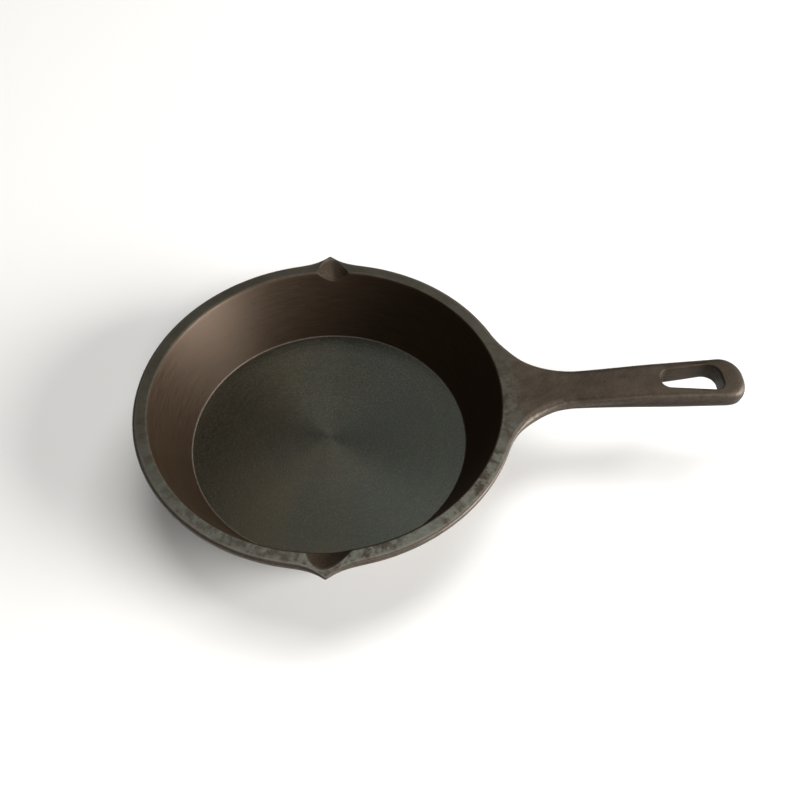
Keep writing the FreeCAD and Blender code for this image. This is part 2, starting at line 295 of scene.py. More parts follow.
def handle_under(x):
    """Height of the handle's underside: a large fillet out of the wall, then nearly level."""
    level = UNDER_HEIGHT + UNDER_SLOPE * ramp(x, UNDER_END, UNDER_BEND)
    # The fillet is a quadratic curve: out along the wall's lean, then level. t is the way along it.
    start = wall_radius(ROOT_FOOT)
    bend = start + (UNDER_HEIGHT - ROOT_FOOT) * WALL_LEAN
    square = start - 2.0 * bend + ROOT_FOOT_REACH
    linear = 2.0 * (bend - start)
    span = np.clip(np.asarray(x, float), start, ROOT_FOOT_REACH) - start
    t = (-linear + np.sqrt(linear * linear + 4.0 * square * span)) / (2.0 * square)
    drop = (UNDER_HEIGHT - ROOT_FOOT) * (1.0 - t) ** 2
    return level - drop


def handle_half(x):
    """Half the handle's width, past its root fillets."""
    t = np.clip((np.asarray(x, float) - FLARE_START) / (FLARE_END - FLARE_START), 0.0, None)
    return NECK_HALF + (EYE_HALF - NECK_HALF) * t**FLARE_CURVE


def spaced(points, count):
    """A number of points spread evenly along a dense line."""
    legs = np.hypot(*np.diff(points, axis=0).T)
    run = np.concatenate([[0.0], np.cumsum(legs)])
    at = np.linspace(0.0, run[-1], count)
    return np.stack([np.interp(at, run, points[:, 0]), np.interp(at, run, points[:, 1])], axis=1)


def inward_normals(points, closed=False):
    """Unit normals on the right-hand side of a line that is walked in order."""
    if closed:
        along = np.roll(points, -1, axis=0) - np.roll(points, 1, axis=0)
    else:
        along = np.gradient(points, axis=0)
    along = along / np.linalg.norm(along, axis=1, keepdims=True)
    return np.stack([along[:, 1], -along[:, 0]], axis=1)


def root_outline(turn):
    """One side of the handle from the rim at a turn to the eye's slice, as dense points."""
    sine = math.sin(turn)
    fillet = (RIM_RADIUS * sine - NECK_HALF) / (1.0 - sine)
    up = NECK_HALF + fillet
    out = (RIM_RADIUS + fillet) * math.cos(turn)
    turns = np.linspace(math.pi + turn, 1.5 * math.pi, OUTLINE_POINTS["fillet"])
    bend = np.stack([out + fillet * np.cos(turns), up + fillet * np.sin(turns)], axis=1)
    side_x = np.linspace(out, EYE_SLICE, OUTLINE_POINTS["side"])[1:]
    side = np.stack([side_x, handle_half(side_x)], axis=1)
    return np.concatenate([bend, side])


def end_outline():
    """The eye's outline from the slice on the far side round the end to the near side."""
    side_x = np.linspace(EYE_SLICE, FLARE_END, OUTLINE_POINTS["side"])
    far = np.stack([side_x, handle_half(side_x)], axis=1)
    turns = np.linspace(0.5 * math.pi, -0.5 * math.pi, OUTLINE_POINTS["end"])[1:-1]
    sine, cosine = np.sin(turns), np.cos(turns)
    power = 2.0 / np.where(sine > 0.0, END_ROUND_FAR, END_ROUND_NEAR)
    end_x = FLARE_END + (HANDLE_REACH - FLARE_END) * cosine**power
    end_y = EYE_HALF * np.sign(sine) * np.abs(sine) ** power
    end = np.stack([end_x, end_y], axis=1)
    near = far[::-1] * [1.0, -1.0]
    return np.concatenate([far, end, near])


def rounded_loop(corners, radii):
    """A closed outline with round corners, walked clockwise, as dense points."""
    points = []
    count = len(corners)
    for i in range(count):
        corner = np.array(corners[i], float)
        back = np.array(corners[i - 1], float) - corner
        ahead = np.array(corners[(i + 1) % count], float) - corner
        back, ahead = back / np.linalg.norm(back), ahead / np.linalg.norm(ahead)
        half = math.acos(float(np.clip(back @ ahead, -1.0, 1.0))) / 2.0
        centre = corner + (back + ahead) / np.linalg.norm(back + ahead) * radii[i] / math.sin(half)
        first = corner + back * radii[i] / math.tan(half) - centre
        sweep = -(math.pi - 2.0 * half)
        for angle in np.linspace(0.0, sweep, OUTLINE_POINTS["corner"]):
            c, s = math.cos(angle), math.sin(angle)
            points.append(centre + [c * first[0] - s * first[1], s * first[0] + c * first[1]])
    return np.array(points)


def hole_facing(plan):
    """The point of the hanging hole that each point around it faces, fanned round both ends."""
    corners = [
        (HOLE_START, HOLE_START_HALF),
        (HOLE_END, HOLE_END_HALF),
        (HOLE_END, -HOLE_END_HALF),
        (HOLE_START, -HOLE_START_HALF),
    ]
    radii = [HOLE_START_CORNER, HOLE_FAR_CORNER, HOLE_NEAR_CORNER, HOLE_START_CORNER]
    loop = rounded_loop(corners, radii)
    faced = []
    for point in plan:
        spine = np.clip(point[0], HOLE_START + HOLE_START_CORNER, HOLE_END - HOLE_FAR_CORNER)
        middle = np.array([spine, 0.0])
        ray = (point - middle) / np.hypot(*(point - middle))
        ahead = (loop - middle) @ ray
        aside = (loop - middle) @ np.array([-ray[1], ray[0]])
        next_ahead, next_aside = np.roll(ahead, -1), np.roll(aside, -1)
        crossing = (aside * next_aside <= 0.0) & (aside != next_aside) & (ahead + next_ahead > 0.0)
        i = int(np.argmax(crossing))
        share = aside[i] / (aside[i] - next_aside[i])
        faced.append(middle + ray * (ahead[i] + share * (next_ahead[i] - ahead[i])))
    return np.array(faced)


# ---------------------------------------------------------------- the skin's vertices and faces


class Skin:
    """Vertices and faces of the whole casting, each face with the region it belongs to."""

    def __init__(self):
        self.points = []
        self.faces = []
        self.regions = []

    def add(self, points):
        """Add an array of points whose last axis is x, y, z; give back their numbers."""
        points = np.asarray(points, float)
        start = len(self.points)
        self.points.extend(points.reshape(-1, 3).tolist())
        return np.arange(start, len(self.points)).reshape(points.shape[:-1])

    def strip(self, first, second, region, closed=False):
        """Join two rows of vertices with quads."""
        count = len(first)
        for i in range(count if closed else count - 1):
            j = (i + 1) % count
            self.face((first[i], first[j], second[j], second[i]), region)

    def face(self, corners, region):
        """Add a face, less any corner that is named twice."""
        kept = []
        for corner in corners:
            if int(corner) not in kept:
                kept.append(int(corner))
        if len(kept) > 2:
            self.faces.append(kept)
            self.regions.append(region)


def arc_between(start, corner, end, rows):
    """Inner points of a curve from start to end that is pulled towards a corner."""
    t = np.linspace(0.0, 1.0, rows + 2)[1:-1]
    t = t.reshape((-1,) + (1,) * np.ndim(start))
    return (1 - t) ** 2 * start + 2 * t * (1 - t) * corner + t * t * end


def bowl_turns():
    """Angles of the bowl's profiles, crowded together at the beaks' tips."""
    coarse = np.arange(SPOUT_FINE - 90.0, 90.0 - SPOUT_FINE - 0.01, TURN_STEP)
    share = np.linspace(-1.0, 1.0, SPOUT_TURNS)[:-1]
    fine = 90.0 + SPOUT_FINE * np.sign(share) * np.abs(share) ** SPOUT_CROWDING
    half = np.concatenate([coarse, fine])
    return np.radians(np.concatenate([half, half + 180.0]))


def leg(start, end, cut_start, cut_end, rows, first=None):
    """Rows of points along a straight leg of the profile, less a cut at each end."""
    length = np.hypot(*(end - start))
    t = np.linspace(0.0, 1.0, rows + 1)
    if first is not None:
        t = np.insert(t, 1, first)
    low, high = cut_start / length, 1.0 - cut_end / length
    share = low + t[:, None] * (high - low)
    return start + share[:, None, :] * (end - start)


def bowl_corners(turns):
    """The bowl's section at every angle with sharp corners, and how much of a beak each angle is."""
    off_handle = np.abs((turns + math.pi) % (2.0 * math.pi) - math.pi)
    z_lip = np.full_like(turns, RIM_HEIGHT)
    for _ in range(LIP_PASSES):
        radius = inner_radius(z_lip)
        z_lip = RIM_HEIGHT - groove_depth(radius * np.cos(turns), radius * np.sin(turns))
    r_lip = inner_radius(z_lip)
    least = r_lip + LIP_ROUND + CREASE_ROUND + LEAST_CREASE_GAP
    r_crease = np.maximum(groove_end(turns), least)
    r_edge = rim_outline(turns)
    beak = np.clip((r_edge - RIM_RADIUS) / (SPOUT_REACH - RIM_RADIUS), 0.0, 1.0)
    z_foot = BAND_ROOT + (SPOUT_FOOT - BAND_ROOT) * beak**SPOUT_FOOT_CURVE
    root_end = ROOT_FOOT_SPREAD * ROOT_TURNS["far"]
    root = 1.0 - smoothstep(off_handle, max(ROOT_TURNS.values()), root_end)
    z_foot = z_foot + (ROOT_FOOT - z_foot) * root
    level = np.full_like(turns, RIM_HEIGHT)
    flat = np.zeros_like(turns)
    corners = (
        (flat + FLOOR_RADIUS, flat + FLOOR_HEIGHT),
        (r_lip, z_lip),
        (r_crease, level),
        (r_edge, level),
        (r_edge - BEAK_UNDERCUT * beak, level - BAND + BEAK_THINNING * beak),
        (wall_radius(z_foot), z_foot),
        (flat + BASE_RADIUS, flat),
        (flat + UNDERSIDE_RADIUS, flat),
    )
    return [np.array(corner) for corner in corners], beak


def bowl_profile(turns):
    """The bowl's section at every angle, as rows of radius and height, and its named rows."""
    (floor, lip, crease, edge, band, foot, base, under), beak = bowl_corners(turns)
    flat = np.zeros_like(turns)
    lip_cut = LIP_ROUND + flat
    crease_cut = CREASE_ROUND + flat
    rim_cut = RIM_ROUND - (RIM_ROUND - SPOUT_EDGE_ROUND) * beak
    band_cut = BAND_ROUND + flat
    base_cut = BASE_CUT + flat
    inner = leg(floor, lip, flat, lip_cut, ROWS["inner"], first=FLOOR_CORNER)
    groove = leg(lip, crease, lip_cut, crease_cut, ROWS["groove"])
    sunk = groove_depth(groove[:, 0] * np.cos(turns), groove[:, 0] * np.sin(turns))
    groove[:, 1] = RIM_HEIGHT - sunk * smoothstep(RIM_HEIGHT - lip[1], 0.0, 1.0)
    top = leg(crease, edge, crease_cut, rim_cut, ROWS["top"])
    side = leg(edge, band, rim_cut, band_cut, ROWS["band"])
    beside = leg(band, foot, band_cut, flat, ROWS["foot"])
    outer = leg(foot, base, flat, base_cut, ROWS["outer"])
    bottom = leg(base, under, base_cut, flat, ROWS["under"])
    rows = [inner]
    marks = {}
    for name, corner, following in (
        ("lip", lip, groove),
        ("crease", crease, top),
        ("rim", edge, side),
        ("band", band, beside),
    ):
        marks[name] = sum(len(part) for part in rows) - 1
        rows.append(arc_between(rows[-1][-1], corner, following[0], ARC_ROWS[name]))
        rows.append(following)
    marks["foot"] = sum(len(part) for part in rows) - 1
    rows.append(outer[1:])
    rows.append(arc_between(outer[-1], base, bottom[0], ARC_ROWS["base"]))
    rows.append(bottom)
    profile = np.concatenate(rows)
    return profile[:, 0], profile[:, 1], marks


def add_bowl(skin):
    """The wall, rim and spouts. Leaves a window in the outer wall where the handle joins."""
    turns = bowl_turns()
    radius, height, marks = bowl_profile(turns)
    points = np.stack([radius * np.cos(turns), radius * np.sin(turns), height], axis=-1)
    rows = skin.add(points)
    turn = (turns + math.pi) % (2.0 * math.pi) - math.pi
    beyond = (turn > ROOT_TURNS["far"] + 1e-6) | (turn < -ROOT_TURNS["near"] - 1e-6)
    sector = np.nonzero(~beyond)[0]
    sector = sector[np.argsort(turn[sector])]
    in_window = set(int(i) for i in sector[:-1])
    at_spout = np.abs(np.cos(turns)) < math.sin(math.radians(SPOUT_FINE - 0.1))
    spout = np.where(np.sin(turns) > 0.0, "spout_left", "spout_right")
    count = len(turns)
    for row in range(len(rows) - 1):
        for i in range(count):
            j = (i + 1) % count
            if marks["rim"] <= row < marks["foot"] and i in in_window:
                continue
            upper = row < marks["foot"] and height[row, i] > SPOUT_BASE
            region = str(spout[i]) if upper and at_spout[i] else "wall"
            skin.face((rows[row, i], rows[row, j], rows[row + 1, j], rows[row + 1, i]), region)
    side = slice(marks["rim"], marks["foot"] + 1)
    window = {
        "turns": turns[sector],
        "top": rows[marks["rim"], sector],
        "bottom": rows[marks["foot"], sector],
        "far": rows[side, sector[-1]],
        "near": rows[side, sector[0]],
        "column": np.stack([RIM_RADIUS - radius, height], axis=-1)[side, sector[0]],
    }
    return rows[0], rows[-1], window


def add_floor(skin, top_ring, bottom_ring):
    """The floor's turned top and its flat underside, as rings that close on the centre."""
    turns = bowl_turns()
    for ring, outer, height in (
        (top_ring, FLOOR_RADIUS, FLOOR_HEIGHT),
        (bottom_ring, UNDERSIDE_RADIUS, 0.0),
    ):
        last = ring
        for radius in np.linspace(outer - FLOOR_RIM, FLOOR_CENTRE, FLOOR_RINGS):
            flat = np.full_like(turns, height)
            points = np.stack([radius * np.cos(turns), radius * np.sin(turns), flat], axis=-1)
            ids = skin.add(points)
            skin.strip(last, ids, "floor", closed=True)
            last = ids
        centre = skin.add(np.array([[0.0, 0.0, height]]))[0]
        for i in range(len(last)):
            skin.face((last[i], last[(i + 1) % len(last)], centre), "floor")


def side_column(top_round, z_top, z_under, rows):
    """The handle's side as steps inward and heights: rounded above, nearly upright, rounded below."""
    arc = ARC_ROWS["rim"]
    side_top = np.array([0.0, z_top - top_round])
    side_foot = np.array([SIDE_DRAFT, z_under + UNDER_ROUND])
    start = np.array([top_round, z_top])
    end = np.array([SIDE_DRAFT + UNDER_ROUND, z_under])
    upper = arc_between(start, np.array([0.0, z_top]), side_top, arc)
    lower = arc_between(side_foot, np.array([SIDE_DRAFT, z_under]), end, arc)
    t = np.linspace(0.0, 1.0, rows - 2 - 2 * arc)[:, None]
    side = (1.0 - t) * side_top + t * side_foot
    return np.concatenate([[start], upper, side, lower, [end]])


def root_spread(window):
    """For each angle of the rim's window, its share of the way from near to far, and its bow."""
    turns = window["turns"]
    near, far = ROOT_TURNS["near"], ROOT_TURNS["far"]
    share = (np.sin(turns) + math.sin(near)) / (math.sin(far) + math.sin(near))
    chord = math.cos(near) + share * (math.cos(far) - math.cos(near))
    return share[:, None], np.cos(turns) - chord


def add_handle(skin, window):
    """The root and neck: sections that leave the rim's window and walk out to the eye."""
    flips = {"far": np.array([1.0, 1.0]), "near": np.array([1.0, -1.0])}
    paths = {side: spaced(root_outline(ROOT_TURNS[side]), HANDLE_LOOPS) for side in flips}
    normals = {side: inward_normals(path) for side, path in paths.items()}
    for side in flips:
        normals[side][0] = -paths[side][0] / RIM_RADIUS
        normals[side][-1] = [0.0, -1.0]
    far_share, bow = root_spread(window)
    column = window["column"]
    column_drop = (RIM_HEIGHT - column[:, 1]) / (RIM_HEIGHT - ROOT_FOOT)
    last = window
    for k in range(1, HANDLE_LOOPS):
        bowed = 1.0 - smoothstep(paths["far"][k][0], paths["far"][0][0], STRAIGHT_FROM)
        settle = {
            side: smoothstep(np.hypot(*paths[side][k]) - RIM_RADIUS, 0.0, ROOT_SETTLE)
            for side in flips
        }
        section = {}
        heights = {}
        for face, row, step in (
            ("top", 0, TOP_ROUND),
            ("bottom", -1, SIDE_DRAFT + UNDER_ROUND),
        ):
            ends = []
            for side, flip in flips.items():
                inward = column[row, 0] + (step - column[row, 0]) * settle[side]
                ends.append((paths[side][k] + inward * normals[side][k]) * flip)
            far, near = ends
            plan = near + far_share * (far - near)
            plan[:, 0] += (RIM_RADIUS - column[row, 0]) * bowed * bow
            if face == "top":
                z = handle_top(plan[:, 0], plan[:, 1])
            else:
                z = handle_under(np.hypot(plan[:, 0], plan[:, 1]))
            section[face] = skin.add(np.concatenate([plan, z[:, None]], axis=1))
            heights[face] = {"far": z[-1], "near": z[0]}
        for side, flip in flips.items():
            z_top, z_under = heights["top"][side], heights["bottom"][side]
            own = side_column(TOP_ROUND, z_top, z_under, len(column))
            wall = np.stack([column[:, 0], z_top - column_drop * (z_top - z_under)], axis=1)
            blend = wall + settle[side] * (own - wall)
            plan = (paths[side][k] + blend[1:-1, :1] * normals[side][k]) * flip
            ids = skin.add(np.concatenate([plan, blend[1:-1, 1:]], axis=1))
            ends = [section[face][-1 if side == "far" else 0] for face in ("top", "bottom")]
            section[side] = np.concatenate([ends[:1], ids, ends[1:]])
        region = "root" if paths["far"][k][0] < NECK_SLICE else "neck"
        for side in ("top", "bottom", "far", "near"):
            skin.strip(last[side], section[side], region)
        last = section
    return last


def add_eye_side(skin, start):
    """The side of the handle's end, as columns from the far side round to the near side."""
    path = spaced(end_outline(), END_POINTS)
    normals = inward_normals(path)
    near_corner = np.array([HANDLE_REACH, -EYE_HALF])
    columns = [start["far"]]
    for outline, normal in zip(path[1:-1], normals[1:-1]):
        off_corner = np.hypot(*(outline - near_corner)) / CORNER_SPREAD
        top_round = TOP_ROUND + CORNER_ROUND * math.exp(-(off_corner**2))
        corner_top = outline + top_round * normal
        corner_under = outline + (SIDE_DRAFT + UNDER_ROUND) * normal
        z_top = float(handle_top(corner_top[0], corner_top[1]))
        z_under = float(handle_under(corner_under[0]))
        column = side_column(top_round, z_top, z_under, len(start["far"]))
        plan = outline + column[:, :1] * normal
        columns.append(skin.add(np.concatenate([plan, column[:, 1:]], axis=1)))
    columns.append(start["near"])
    for first, second in zip(columns, columns[1:]):
        skin.strip(first, second, "eye")
    return columns


def add_eye_face(skin, face, loop, hole):
    """One face of the handle's end: rings from its outline in to the lip of the hole."""
    plan = np.array([skin.points[i][:2] for i in loop])
    last = loop
    for ring in range(1, EYE_RINGS + 1):
        t = ring / EYE_RINGS
        at = (1.0 - t) * plan + t * hole
        z = handle_top(at[:, 0], at[:, 1]) if face == "top" else handle_under(at[:, 0])
        ids = skin.add(np.concatenate([at, z[:, None]], axis=1))
        skin.strip(last, ids, "eye", closed=True)
        last = ids
    return last, z


def add_hole_wall(skin, hole_line, outward, top, bottom):
    """The wall of the hanging hole, rounded into both faces."""
    top_ids, z_top = top
    bottom_ids, z_bottom = bottom
    lip = arc_between(
        np.stack([hole_line + outward, np.zeros_like(outward)]),
        np.stack([hole_line, np.zeros_like(outward)]),
        np.stack([hole_line, np.full_like(outward, -HOLE_LIP)]),
        HOLE_ARC,
    )
    rows = [top_ids]
    for plan, drop in lip:
        rows.append(skin.add(np.concatenate([plan, (z_top + drop[:, 0])[:, None]], axis=1)))
    for t in np.linspace(0.0, 1.0, HOLE_WALL):
        z = (1.0 - t) * (z_top - HOLE_LIP) + t * (z_bottom + HOLE_LIP)
        rows.append(skin.add(np.concatenate([hole_line, z[:, None]], axis=1)))
    for plan, drop in lip[::-1]:
        rows.append(skin.add(np.concatenate([plan, (z_bottom - drop[:, 0])[:, None]], axis=1)))
    rows.append(bottom_ids)
    for first, second in zip(rows, rows[1:]):
        skin.strip(first, second, "eye", closed=True)


def add_eye(skin, start):
    """The handle's end: its side, its two faces and the wall of the hanging hole."""
    columns = add_eye_side(skin, start)
    top_loop = np.concatenate([start["top"], [column[0] for column in columns[1:-1]]])
    bottom_loop = np.concatenate([start["bottom"], [column[-1] for column in columns[1:-1]]])
    hole_line = hole_facing(np.array([skin.points[i][:2] for i in top_loop]))
    outward = -HOLE_LIP * inward_normals(hole_line, closed=True)
    top = add_eye_face(skin, "top", top_loop, hole_line + outward)
    bottom = add_eye_face(skin, "bottom", bottom_loop, hole_line + outward)
    add_hole_wall(skin, hole_line, outward, top, bottom)


def casting_mesh():
    """The whole closed skin as a mesh in metres with its faces outward, and each face's region."""
    skin = Skin()
    floor_ring, under_ring, window = add_bowl(skin)
    add_floor(skin, floor_ring, under_ring)
    add_eye(skin, add_handle(skin, window))
    mesh = bpy.data.meshes.new("casting")
    mesh.from_pydata([Vector(p) * MM for p in skin.points], [], skin.faces)
    mesh.update()
    work = bmesh.new()
    work.from_mesh(mesh)
    bmesh.ops.recalc_face_normals(work, faces=work.faces)
    work.to_mesh(mesh)
    open_edges = sum(1 for edge in work.edges if not edge.is_manifold)
    work.free()
    print("casting: faces", len(mesh.polygons), "open edges", open_edges)
    return mesh, skin.regions


def edge_sharpness(mesh):
    """How sharply the outer edges turn at each vertex, per millimetre, a little smoothed."""
    points = np.array([v.co for v in mesh.vertices]) / MM
    normals = np.array([v.normal for v in mesh.vertices])
    edges = np.array([e.vertices for e in mesh.edges])
    first, second = edges[:, 0], edges[:, 1]
    run = points[second] - points[first]
    turn = normals[second] - normals[first]
    bend = np.sum(turn * run, axis=1) / np.maximum(np.sum(run * run, axis=1), 1e-4)
    sharp = np.zeros(len(points))
    np.maximum.at(sharp, first, bend)
    np.maximum.at(sharp, second, bend)
    count = np.maximum(np.bincount(edges.ravel(), minlength=len(points)), 1)
    for _ in range(2):
        spread = np.zeros(len(points))
        np.add.at(spread, first, sharp[second])
        np.add.at(spread, second, sharp[first])
        sharp = (sharp + spread / count) / 2.0
    radius = np.hypot(points[:, 0], points[:, 1])
    off_hole = np.abs(points[:, 1]) / (0.5 * HOLE_END_HALF + 0.5 * handle_half(points[:, 0]))
    past_hole = smoothstep(points[:, 0], HOLE_END + 1.0, HOLE_END + 3.0)
    on_handle = np.maximum(smoothstep(off_hole, 0.9, 1.1), past_hole)
    outside = np.where(radius > RIM_RADIUS + ROOT_LENGTH, on_handle, 1.0)
    return sharp * outside * smoothstep(radius, MOUTH_RADIUS + 1.5, MOUTH_RADIUS + 3.5)


def painted_shade_cover(mesh):
    """Painted shade: darker on faces that look sideways or down, and in the hanging hole only towards
    its wide end.
    """
    points = np.array([v.co for v in mesh.vertices]) / MM
    upward = np.array([v.normal[2] for v in mesh.vertices])
    at_hole = (points[:, 0] > HOLE_START - 1.0) & (points[:, 0] < HOLE_END + 1.0)
    in_hole = at_hole & (np.abs(points[:, 1]) < HOLE_END_HALF + 0.5)
    wide_end = smoothstep(points[:, 0], HOLE_START + 11.0, HOLE_END - 5.0)
    return (1.0 - smoothstep(upward, 0.1, 0.6)) * np.where(in_hole, wide_end, 1.0)


def region_piece(mesh, regions, covers, region, name, node):
    """One region of the skin as an object of its own, shaded as the whole skin is."""
    faces = [p for p, r in zip(mesh.polygons, regions) if r == region]
    used = sorted({v for face in faces for v in face.vertices})
    place = {vertex: number for number, vertex in enumerate(used)}
    piece_mesh = bpy.data.meshes.new(name)
    piece_mesh.from_pydata(
        [mesh.vertices[v].co for v in used],
        [],
        [[place[v] for v in face.vertices] for face in faces],
    )
    piece_mesh.update()
    piece_mesh.polygons.foreach_set("use_smooth", [True] * len(faces))
    piece_mesh.normals_split_custom_set_from_vertices([mesh.vertices[v].normal for v in used])
    for cover, values in covers.items():
        piece_mesh.attributes.new(cover, "FLOAT", "POINT").data.foreach_set("value", values[used])
    piece = bpy.data.objects.new(name, piece_mesh)
    bpy.context.scene.collection.objects.link(piece)
    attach(piece, "root")
    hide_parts(node)
    return piece


# ---------------------------------------------------------------- materials


class Nodes:
    """A new material's node tree, with short ways to add to it."""

    def __init__(self, name):
        self.material = bpy.data.materials.new(name)
        self.material.use_nodes = True
        self.tree = self.material.node_tree
        self.shader = self.tree.nodes["Principled BSDF"]
        place = self.node("ShaderNodeTexCoord").outputs["Object"]
        self.place = self.scaled(place, 1.0 / MM)
        axes = self.node("ShaderNodeSeparateXYZ", {"Vector": self.place}).outputs
        self.x, self.y, self.z = axes
        flat = self.vector(self.x, self.y, 0.0)
        length = self.node("ShaderNodeVectorMath", {0: flat}, operation="LENGTH")
        self.radius = length.outputs["Value"]
        heading = self.node("ShaderNodeVectorMath", {0: flat}, operation="NORMALIZE")
        self.heading = heading.outputs["Vector"]

    def feed(self, socket, value):
        """Link another node's socket to a socket, or set it to a plain value."""
        if isinstance(value, bpy.types.NodeSocket):
            self.tree.links.new(value, socket)
        elif socket.type == "RGBA":
            socket.default_value = (*value, 1.0)
        else:
            socket.default_value = value

    def node(self, kind, inputs=None, **settings):
        """A new node, with its inputs fed and its settings set."""
        node = self.tree.nodes.new(kind)
        for name, value in settings.items():
            setattr(node, name, value)
        for key, value in (inputs or {}).items():
            self.feed(node.inputs[key], value)
        return node

    def set(self, **values):
        """Values for the shader's own sockets, spaces in their names written as _."""
        for name, value in values.items():
            self.feed(self.shader.inputs[name.replace("_", " ")], value)

    def attribute(self, name):
        return self.node("ShaderNodeAttribute", attribute_name=name).outputs["Fac"]

    def vector(self, x, y, z):
        return self.node("ShaderNodeCombineXYZ", {"X": x, "Y": y, "Z": z}).outputs[0]

    def scaled(self, vector, factor):
        node = self.node("ShaderNodeVectorMath", {0: vector, "Scale": factor}, operation="SCALE")
        return node.outputs["Vector"]

    def add(self, *vectors):
        node = self.node("ShaderNodeVectorMath", dict(enumerate(vectors)), operation="ADD")
        return node.outputs["Vector"]

    def math(self, operation, *values):
        node = self.node("ShaderNodeMath", dict(enumerate(values)), operation=operation)
        return node.outputs[0]

    def times(self, *values):
        product = values[0]
        for value in values[1:]:
            product = self.math("MULTIPLY", product, value)
        return product

    def step(self, value, low, high, start=0.0, end=1.0):
        """A smooth change from start to end as the value goes from low to high."""
        inputs = {"Value": value, "From Min": low, "From Max": high, "To Min": start, "To Max": end}
        return self.node("ShaderNodeMapRange", inputs, interpolation_type="SMOOTHSTEP").outputs[0]

    def noise(self, vector, scale, detail=2.0, roughness=0.5):
        inputs = {"Vector": vector, "Scale": scale, "Detail": detail, "Roughness": roughness}
        return self.node("ShaderNodeTexNoise", inputs).outputs["Fac"]

    def mixed(self, share, low, high):
        node = self.node("ShaderNodeMix", {0: share, 6: low, 7: high}, data_type="RGBA")
        return node.outputs[2]

    def mixed_vector(self, share, low, high):
        node = self.node("ShaderNodeMix", {0: share, 4: low, 5: high}, data_type="VECTOR")
        return node.outputs[1]

    def mixed_value(self, share, low, high):
        return self.node("ShaderNodeMix", {0: share, 2: low, 3: high}).outputs[0]

    def relief(self, height, depth, under=None):
        """A bump of a depth in millimetres, over another bump if there is one."""
        inputs = {"Height": height, "Distance": depth * MM, "Strength": 1.0}
        if under is not None:
            inputs["Normal"] = under
        return self.node("ShaderNodeBump", inputs).outputs["Normal"]


def as_cast(nodes):
    """Iron as the sand mould left it: brown clouds of seasoning, painted shade on faces that look
    sideways or down, sandy to the touch.
    """
    grain = nodes.noise(nodes.place, 1.15, 4.0, 0.62)
    cloud = nodes.noise(nodes.place, 0.07, 3.0, 0.6)
    colour = nodes.mixed(nodes.step(cloud, 0.35, 0.65), SEASONED_DARK, SEASONED_LIGHT)
    colour = nodes.mixed(nodes.step(grain, 0.52, 0.75), colour, SEASONED_GRAIN)
    # Painted shade on faces that look sideways or down and in the hanging hole's wide end
    colour = nodes.mixed(nodes.times(nodes.attribute("painted_shade"), 0.6), colour, PAINTED_SHADE)
    rough = nodes.mixed_value(nodes.step(grain, 0.3, 0.7), 0.5, 0.62)
    unevenness = nodes.relief(nodes.noise(nodes.place, 0.16, 2.0), 0.5)
    normal = nodes.relief(grain, 0.16, unevenness)
    return {"grain": grain, "cloud": cloud, "colour": colour, "rough": rough, "normal": normal}


def ground_rim(nodes, grain, cloud):
    """The rim's ground top: greenish grey, with a painted highlight that makes the near side paler, and
    brown stains.
    """
    along = nodes.vector(0.0, 0.0, nodes.times(nodes.radius, 0.75))
    spokes = nodes.noise(nodes.add(nodes.scaled(nodes.heading, 75.0), along), 0.3, 4.0, 0.7)
    patches = nodes.noise(nodes.place, 0.04, 2.0)
    stain = nodes.times(
        nodes.step(spokes, 0.43, 0.6),
        nodes.step(patches, 0.29, 0.5),
        nodes.step(nodes.y, -10.0, 45.0, 0.82, 0.3),
        nodes.step(nodes.x, -50.0, 20.0, 0.6, 1.0),
    )
    colour = nodes.mixed(nodes.step(cloud, 0.3, 0.7), GROUND_DARK, GROUND_LIGHT)
    # Painted highlight: the rim paler towards the near side
    colour = nodes.mixed(nodes.step(nodes.y, -50.0, 0.0, 1.0, 0.0), colour, GROUND_NEAR_HIGHLIGHT)
    colour = nodes.mixed(nodes.step(grain, 0.3, 0.7, 0.0, 0.45), colour, GROUND_DARK)
    colour = nodes.mixed(stain, colour, RUST_BROWN)
    return colour, nodes.mixed_value(stain, 0.4, 0.6)


def turned_wall(nodes):
    """The wall inside the bowl: brown, with faint marks of the tool round it and a painted highlight
    along its foot.
    """
    up = nodes.vector(0.0, 0.0, nodes.times(nodes.z, 3.0))
    marks = nodes.noise(nodes.add(nodes.scaled(nodes.heading, 6.0), up), 1.0, 4.0, 0.7)
    share = nodes.step(marks, 0.3, 0.7)
    colour = nodes.mixed(share, TURNED_WALL_DARK, TURNED_WALL_LIGHT)
    # Painted highlight: a thin light line along the foot of the wall
    corner = nodes.step(nodes.z, FLOOR_HEIGHT + 0.1, FLOOR_HEIGHT + 0.5, 0.7, 0.0)
    return nodes.mixed(corner, colour, WORN_EDGE_AND_HIGHLIGHT), nodes.mixed_value(share, 0.42, 0.52), marks


